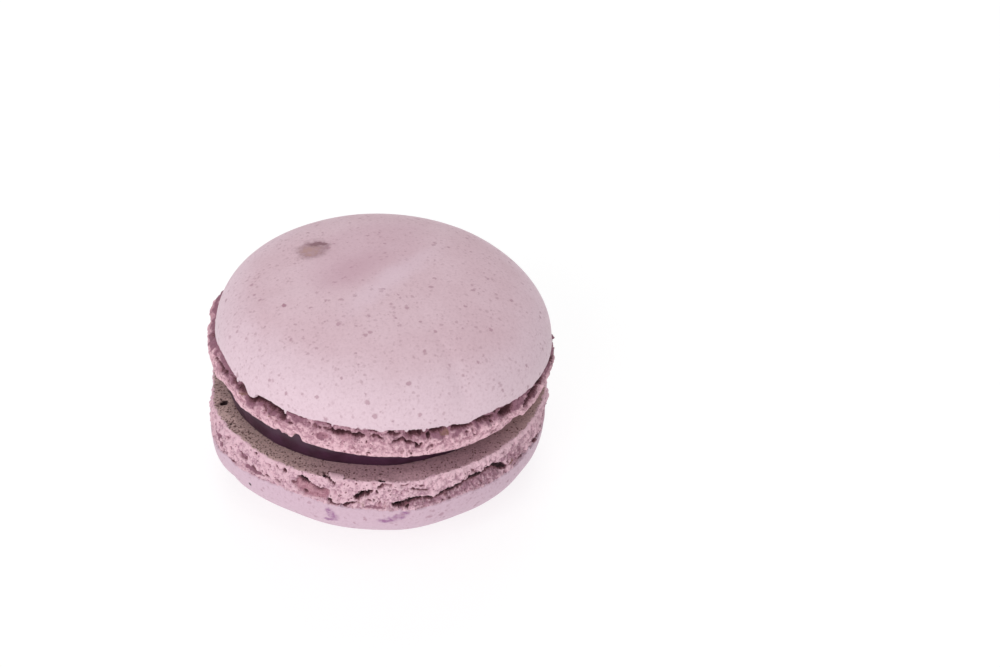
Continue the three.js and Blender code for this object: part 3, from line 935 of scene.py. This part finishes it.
upperColours = {
    "pale": colour(232, 190, 201),
    "paleShare": 0.06,  # added to the share of pale crumb
    "rosy": colour(182, 136, 151),
    # dark: painted shade in the deepest cuts of the crumb and face
    "dark": colour(84, 46, 54),
    "skin": colour(220, 190, 200),
    "skinWarm": colour(207, 174, 184),
    "skinPale": colour(219, 191, 201),
    "skinRim": colour(228, 203, 214),
    # the flush colour is a redder tint with painted shade for the hollow of the dent, and the ridge colour
    # a painted highlight along its crest
    "flush": colour(188, 142, 160),
    "ridge": colour(226, 202, 216),
    "scar": colour(150, 112, 122),
    "scarCore": colour(182, 144, 140),
    "scarStreak": colour(128, 88, 98),
    # patches on the dome: place (x, y), half sizes, lean, softness of the edge
    "patches": {
        # flush and middle put painted shade and a redder tint in the dent's hollow; ridge is a painted
        # highlight on its crest
        "flush": ((-2.6, 5.2), (10.5, 6.2, 8), 53, 0.3),
        "middle": ((-4.4, 0.4), (5, 2.2, 8), 53, 0.8),
        "ridge": ((0.9, -1.3), (9, 1.6, 8), 53, 0.7),
        "scar": ((-9.7, 5.9), (2, 2.4, 2), -20, 0.4),
        "core": ((-10, 5.6), (1.3, 1.3, 2), -20, 0.4),
        "streak": ((-8.9, 7.1), (1.7, 0.6, 2), -10, 0.5),
    },
    # larger marks: x, y, half length, half width, lean, strength
    "marks": [
        (-0.5, -4.05, 0.42, 0.2, 10, 0.7), (-13, -6.5, 0.34, 0.34, 0, 0.75),
        (-5.8, -6.3, 0.3, 0.22, -20, 0.45), (-2, -12.3, 0.3, 0.3, 0, 0.5), (5.75, -3, 0.36, 0.2, 15, 0.5),
        (-9.6, -7.5, 0.34, 0.2, 0, 0.5), (2.6, -7.7, 0.3, 0.24, 0, 0.5), (6.3, 7.3, 0.32, 0.22, 30, 0.5),
        (-4.6, 1, 0.34, 0.2, 20, 0.5), (-6.7, -2.6, 0.3, 0.2, 0, 0.5), (-2.5, 9.35, 0.3, 0.2, 0, 0.5),
        (-14.2, -16.25, 0.3, 0.25, 40, 0.5), (-18.5, -8.2, 0.34, 0.24, 30, 0.45),
        (3, -19.1, 0.3, 0.35, 0, 0.5), (-1.1, -21.9, 0.35, 0.4, 0, 0.5),
    ],
}

lowerColours = {
    "pale": colour(226, 188, 200),
    "paleShare": 0.23,
    "rosy": colour(168, 123, 142),
    # dark: painted shade in the deepest cuts, and also the own colour of the dark crumb on the dome
    "dark": colour(44, 21, 28),
    # these skin colours are the upper skin's made darker: painted shade on the lower dome
    "skin": colour(203, 172, 187),
    "skinWarm": colour(198, 165, 179),
    "skinPale": colour(210, 177, 193),
    "skinRim": colour(213, 184, 200),
    # larger marks: angle, height, half length, half height, strength
    "marks": [
        (-72.6, 6.78, 0.5, 0.22, 0.5), (-68.4, 6.83, 0.4, 0.3, 0.5), (-94.2, 6.13, 0.25, 0.2, 0.4),
        (-54.2, 7.16, 0.3, 0.25, 0.4), (-130.5, 5.7, 0.25, 0.2, 0.4), (-112.8, 5, 0.3, 0.2, 0.4),
    ],
    "darkCrumb": (-137, 6.43, 0.24, 0.2),
    # smears of filling, each a row of blots: angle, height, half length, half height
    "smears": [
        (-105.9, 5.5, 0.45, 0.4), (-105.2, 6.1, 0.6, 0.6), (-104.2, 6.6, 0.6, 0.4),
        (-106.2, 7.3, 0.7, 0.28), (-104.4, 7.15, 0.5, 0.3), (-87.4, 6.65, 0.9, 0.35),
        (-85.2, 6.4, 0.8, 0.42), (-82.8, 6, 0.8, 0.45), (-81.2, 5.55, 0.6, 0.4),
    ],
}

crumbColours = {
    # deep and deepPale: painted shade in the cuts of the crumb
    "deep": colour(106, 64, 76),
    "deepPale": colour(146, 100, 110),
    "rose": colour(160, 106, 122),
    "rosePale": colour(194, 144, 156),
    # mauve colour of the painted shade in recesses and under the skin, partly the crumb's own mauve
    "mauveShade": colour(136, 90, 108),
    "tan": colour(140, 102, 92),
    "bakedSide": colour(204, 173, 170),
    "bakedFront": colour(192, 152, 162),
    "freckle": colour(84, 52, 54),
    "speck": colour(154, 100, 120),
    "smear": colour(152, 100, 144),
}
fleckDepth = 0.35  # how far the flecks dent the skin


def plainSkin(paint, palette, bent):
    # broad clouds, a pale rim and a fine mottle, and the flecks that go over them in three sizes
    broad = paint.noise(7, 3, 0.6)
    skin = paint.blend(paint.between(broad, 0.35, 0.65), palette["skinWarm"], palette["skinPale"])
    skin = paint.blend(0.65, skin, palette["skin"])
    rimShare = paint.between(paint.attribute("outward") + (broad - 0.5) * 0.15, 0.72, 0.98, 0, 0.8)
    skin = paint.blend(rimShare, skin, palette["skinRim"])
    dusting = paint.between(paint.noise(0.4, 3, 0.75), 0.4, 0.7, 0, 0.15)
    skin = paint.blend(dusting, skin, crumbColours["speck"])
    patchy = paint.between(paint.noise(4, 2), 0.3, 0.65, 0.35, 1)
    fine = paint.spots(0.5, 0.7, 0.09, 0.2, bent) * patchy * 0.22
    medium = paint.spots(0.8, 0.7, 0.12, 0.28, bent, 0.03) * patchy * 0.38
    coarse = paint.spots(1.7, 0.6, 0.16, 0.38, bent, 0.07) * 0.5
    return skin, fine.highest(medium).highest(coarse)


def upperSkin(paint, palette, bent):
    skin, flecks = plainSkin(paint, palette, bent)
    for x, y, halfLength, halfWidth, lean, strength in palette["marks"]:
        halves = (halfLength, halfWidth, 1.2 if math.hypot(x, y) < 12 else halfWidth)
        flecks = flecks.highest(paint.spotAt(bent, onUpperDome(x, y), halves, lean) * strength)
    skin = paint.blend(flecks, skin, crumbColours["speck"])

    def patch(word, vector):
        place, halves, lean, edge = palette["patches"][word]
        return paint.spotAt(vector, onUpperDome(*place), halves, lean, edge)

    # the hollow along the dent, a redder tint with painted shade, and a painted highlight along its crest;
    # and the blemish where a bubble has burst
    loose = paint.warped(bent, 3, 2.4)
    flush, middle, ridge = (patch(word, loose) for word in ("flush", "middle", "ridge"))
    skin = paint.blend(flush * 0.26 + middle * 0.2, skin, palette["flush"])
    skin = paint.blend(ridge * 0.35, skin, palette["ridge"])
    torn = paint.warped(bent, 1.2, 2.4)
    uneven = paint.between(paint.noise(0.45, 2), 0.35, 0.62, 0.35, 1)
    scar, core, streak = (patch(word, torn) for word in ("scar", "core", "streak"))
    skin = paint.blend(scar * (uneven * 0.3 + 0.5), skin, palette["scar"])
    skin = paint.blend(core * uneven * 0.8, skin, palette["scarCore"])
    skin = paint.blend(streak * 0.8, skin, palette["scarStreak"])
    return skin, flecks * fleckDepth + scar * 1.6 - core * 0.7


def lowerSkin(paint, palette, bent):
    skin, flecks = plainSkin(paint, palette, bent)
    for at, height, halfLength, halfHeight, strength in palette["marks"]:
        halves = (0.8, halfLength, halfHeight)
        flecks = flecks.highest(paint.spotAt(bent, onLowerDome(at, height), halves, at) * strength)
    smears = None
    for at, height, halfLength, halfHeight in palette["smears"]:
        halves = (0.8, halfLength, halfHeight)
        blot = paint.spotAt(bent, onLowerDome(at, height), halves, at, 0.6)
        smears = smears.highest(blot) if smears else blot
    broken = paint.between(paint.noise(0.5, 2), 0.38, 0.6, 0.25, 1)
    skin = paint.blend(smears * (broken * 0.65 + 0.3), skin, crumbColours["smear"])
    at, height, halfLength, halfHeight = palette["darkCrumb"]
    darkCrumb = paint.spotAt(bent, onLowerDome(at, height), (0.9, halfLength, halfHeight), at)
    skin = paint.blend(darkCrumb, skin, palette["dark"])
    return paint.blend(flecks, skin, crumbColours["speck"]), flecks * fleckDepth


def crumbTint(paint, palette, bent, pit):
    # pale on its crests and rosier between them, partly painted shade in the creases; painted shade makes
    # it darker the deeper it is cut and in its small holes
    mottle = paint.noise(0.4, 3, 0.7)
    fineMottle = paint.noise(0.16, 2, 0.6)
    raised = paint.attribute("crest") * 0.6 + (mottle - 0.5) * 1.5 + (fineMottle - 0.5) * 0.45
    pale = paint.between(raised + palette["paleShare"], 0.05, 0.7)
    tint = paint.blend(pale, palette["rosy"], palette["pale"])
    holes = paint.spots(0.45, 0.5, 0.06, 0.17, bent) * 0.42
    depth = (pit + (mottle - 0.5) * 0.6 + (fineMottle - 0.5) * 0.3).highest(holes)
    # rose and tan are the crumb's own colours; the mauve one is partly painted shade
    patchColours = {word: crumbColours[word] for word in ("rose", "mauveShade", "tan")}
    roseShare = paint.between(mottle, 0.42, 0.62)
    patchColours["rose"] = paint.blend(roseShare, crumbColours["rose"], crumbColours["rosePale"])
    for word, patchColour in patchColours.items():
        amount = paint.between(paint.attribute(word) + (mottle - 0.5) * 2, 0.2, 0.85, 0, 0.9)
        tint = paint.blend(amount, tint, patchColour)
    # painted shade: deep, then dark, the more the pit mark and the holes give
    deepShare = paint.between(fineMottle, 0.42, 0.6)
    deepTint = paint.blend(deepShare, crumbColours["deep"], crumbColours["deepPale"])
    tint = paint.blend(paint.between(depth, 0.12, 0.52), tint, deepTint)
    return paint.blend(paint.between(depth, 0.55, 1.1), tint, palette["dark"])


def faceTint(paint, palette, bent, pit):
    # baked brown and freckled with dark specks, with painted shade in its cuts
    front, freckled = paint.attribute("front"), paint.attribute("freckled")
    face = paint.blend(front, crumbColours["bakedSide"], crumbColours["bakedFront"])
    dusting = paint.between(paint.noise(0.3, 3, 0.7), 0.4, 0.75, 0, 0.5)
    face = paint.blend(dusting, face, crumbColours["freckle"])
    dots = paint.spots(0.33, freckled * 0.95, 0.08, 0.18, bent)
    largeDots = paint.spots(0.8, freckled * 0.5, 0.12, 0.24, bent, 0.02)
    face = paint.blend(dots.highest(largeDots) * 0.9, face, crumbColours["freckle"])
    # painted shade where the face is cut
    return paint.blend(paint.between(pit, 0.15, 0.6), face, palette["dark"])


def paintShell(name, palette, skinOf):
    paint = Paint(name)
    crumb, baked, pit = (paint.attribute(word) for word in ("crumb", "baked", "pit"))
    bent = paint.warped(paint.place(), 0.4, 0.6)
    skin, hollow = skinOf(paint, palette, bent)
    ragged = paint.between(crumb + (paint.noise(0.3, 2) - 0.5) * 0.8, 0.4, 0.6)
    tint = paint.blend(ragged, skin, crumbTint(paint, palette, bent, pit))
    bakedEdge = paint.between(baked + (paint.noise(0.25, 2) - 0.5) * 0.9, 0.4, 0.6)
    tint = paint.blend(bakedEdge, tint, faceTint(paint, palette, bent, pit))
    grainBump = paint.noise(0.22, 3, 0.6) * (crumb + baked * 0.7) + paint.noise(0.6, 3, 0.6) * 0.12
    skinBump = hollow * (1 - crumb - baked) * 0.7
    bump = {"Strength": 0.6, "Distance": 0.09 * mm, "Height": grainBump - skinBump}
    return paint.finished({
        "Base Color": tint,
        "Roughness": (crumb + baked) * 0.3 + 0.55,
        "Normal": paint.node("ShaderNodeBump", {}, bump),
        "Specular IOR Level": 0.35,
    })


def paintFilling(name):
    paint = Paint(name)
    tint = paint.blend(paint.between(paint.noise(3, 3), 0.35, 0.65), colour(54, 20, 42), colour(70, 34, 60))
    bump = {"Strength": 0.4, "Distance": 0.1 * mm, "Height": paint.noise(0.9, 2)}
    return paint.finished({
        "Base Color": tint,
        "Roughness": paint.between(paint.noise(1.2, 2), 0.3, 0.7, 0.35, 0.5),
        "Normal": paint.node("ShaderNodeBump", {}, bump),
    })


# the shell materials hold the shells' own colours and painted shade in cuts, under the skin and in the dent
for piece, material in (
    (lowerPiece, paintShell("lowerShellColours", lowerColours, lowerSkin)),
    (upperPiece, paintShell("upperShellColours", upperColours, upperSkin)),
    (fillingPiece, paintFilling("darkGanacheFinish")),
):
    piece.data.materials.clear()
    piece.data.materials.append(material)
print("finishes made")

# Each piece joins the root body, and the part of model.glb that it stands for is hidden
for piece, node, slot in (
    (lowerPiece, "lower_shell", "shell"),
    (fillingPiece, "filling", "filling"),
    (upperPiece, "upper_shell", "shell"),
):
    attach(piece, "root")
    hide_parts(node)

# Floor, light and camera

studio = {
    "floorSize": 6,
    "floorTint": (0.35, 0.35, 0.35, 1),
    "floorGlow": 0.72,
    "skyStrength": 0.42,
    "lights": [  # name, place in metres, size, watts
        ("softboxFront", (-0.5, -0.8, 0.45), 0.8, 4.1),
        ("softboxHigh", (0.1, -0.7, 0.95), 0.8, 1.4),
        ("softboxTop", (0, 0, 1.2), 1, 2.5),
        ("softboxBack", (0, 0.9, 0.8), 0.8, 2.7),
    ],
}


def makeStudio():
    deselectAll()
    bpy.ops.mesh.primitive_plane_add(size=studio["floorSize"], location=(0, 0, 0))
    floor = bpy.context.object
    floor.name = "floor"
    material = Paint("paleFloor").finished({
        "Base Color": studio["floorTint"],
        "Roughness": 0.9,
        "Specular IOR Level": 0.1,
        "Emission Color": (1, 1, 1, 1),
        "Emission Strength": studio["floorGlow"],
    })
    floor.data.materials.append(material)
    world = bpy.data.worlds.new("paleStudio")
    world.use_nodes = True
    sky = world.node_tree.nodes["Background"]
    sky.inputs["Color"].default_value = (1, 1, 1, 1)
    sky.inputs["Strength"].default_value = studio["skyStrength"]
    bpy.context.scene.world = world
    for name, place, size, watts in studio["lights"]:
        bpy.ops.object.light_add(type="AREA", location=place)
        lamp = bpy.context.object
        lamp.name = name
        lamp.data.shape = "DISK"
        lamp.data.size = size
        lamp.data.energy = watts
        towards = Vector((0, 0, 0.015)) - Vector(place)
        lamp.rotation_euler = towards.to_track_quat("-Z", "Y").to_euler()


view = {
    "position": (-0.3, -233.537, 189.5275),
    "aim": (16.104, 3.469, 17.757),
    "lens": 78.106,
    "roll": 2.746,
}


def makeCamera():
    position, aim = Vector(view["position"]) * mm, Vector(view["aim"]) * mm
    ahead = (aim - position).normalized()
    right = ahead.cross(Vector((0, 0, 1))).normalized()
    above = right.cross(ahead)
    c, s = math.cos(math.radians(view["roll"])), math.sin(math.radians(view["roll"]))
    axes = (c * right + s * above, c * above - s * right, -ahead)
    camera = bpy.data.objects.new("camera", bpy.data.cameras.new("camera"))
    bpy.context.scene.collection.objects.link(camera)
    camera.matrix_world = Matrix.Translation(position) @ Matrix(axes).transposed().to_4x4()
    camera.data.lens = view["lens"]
    camera.data.sensor_width = 36
    camera.data.clip_start = 0.01
    bpy.context.scene.camera = camera


makeStudio()
makeCamera()
print("studio and camera set")
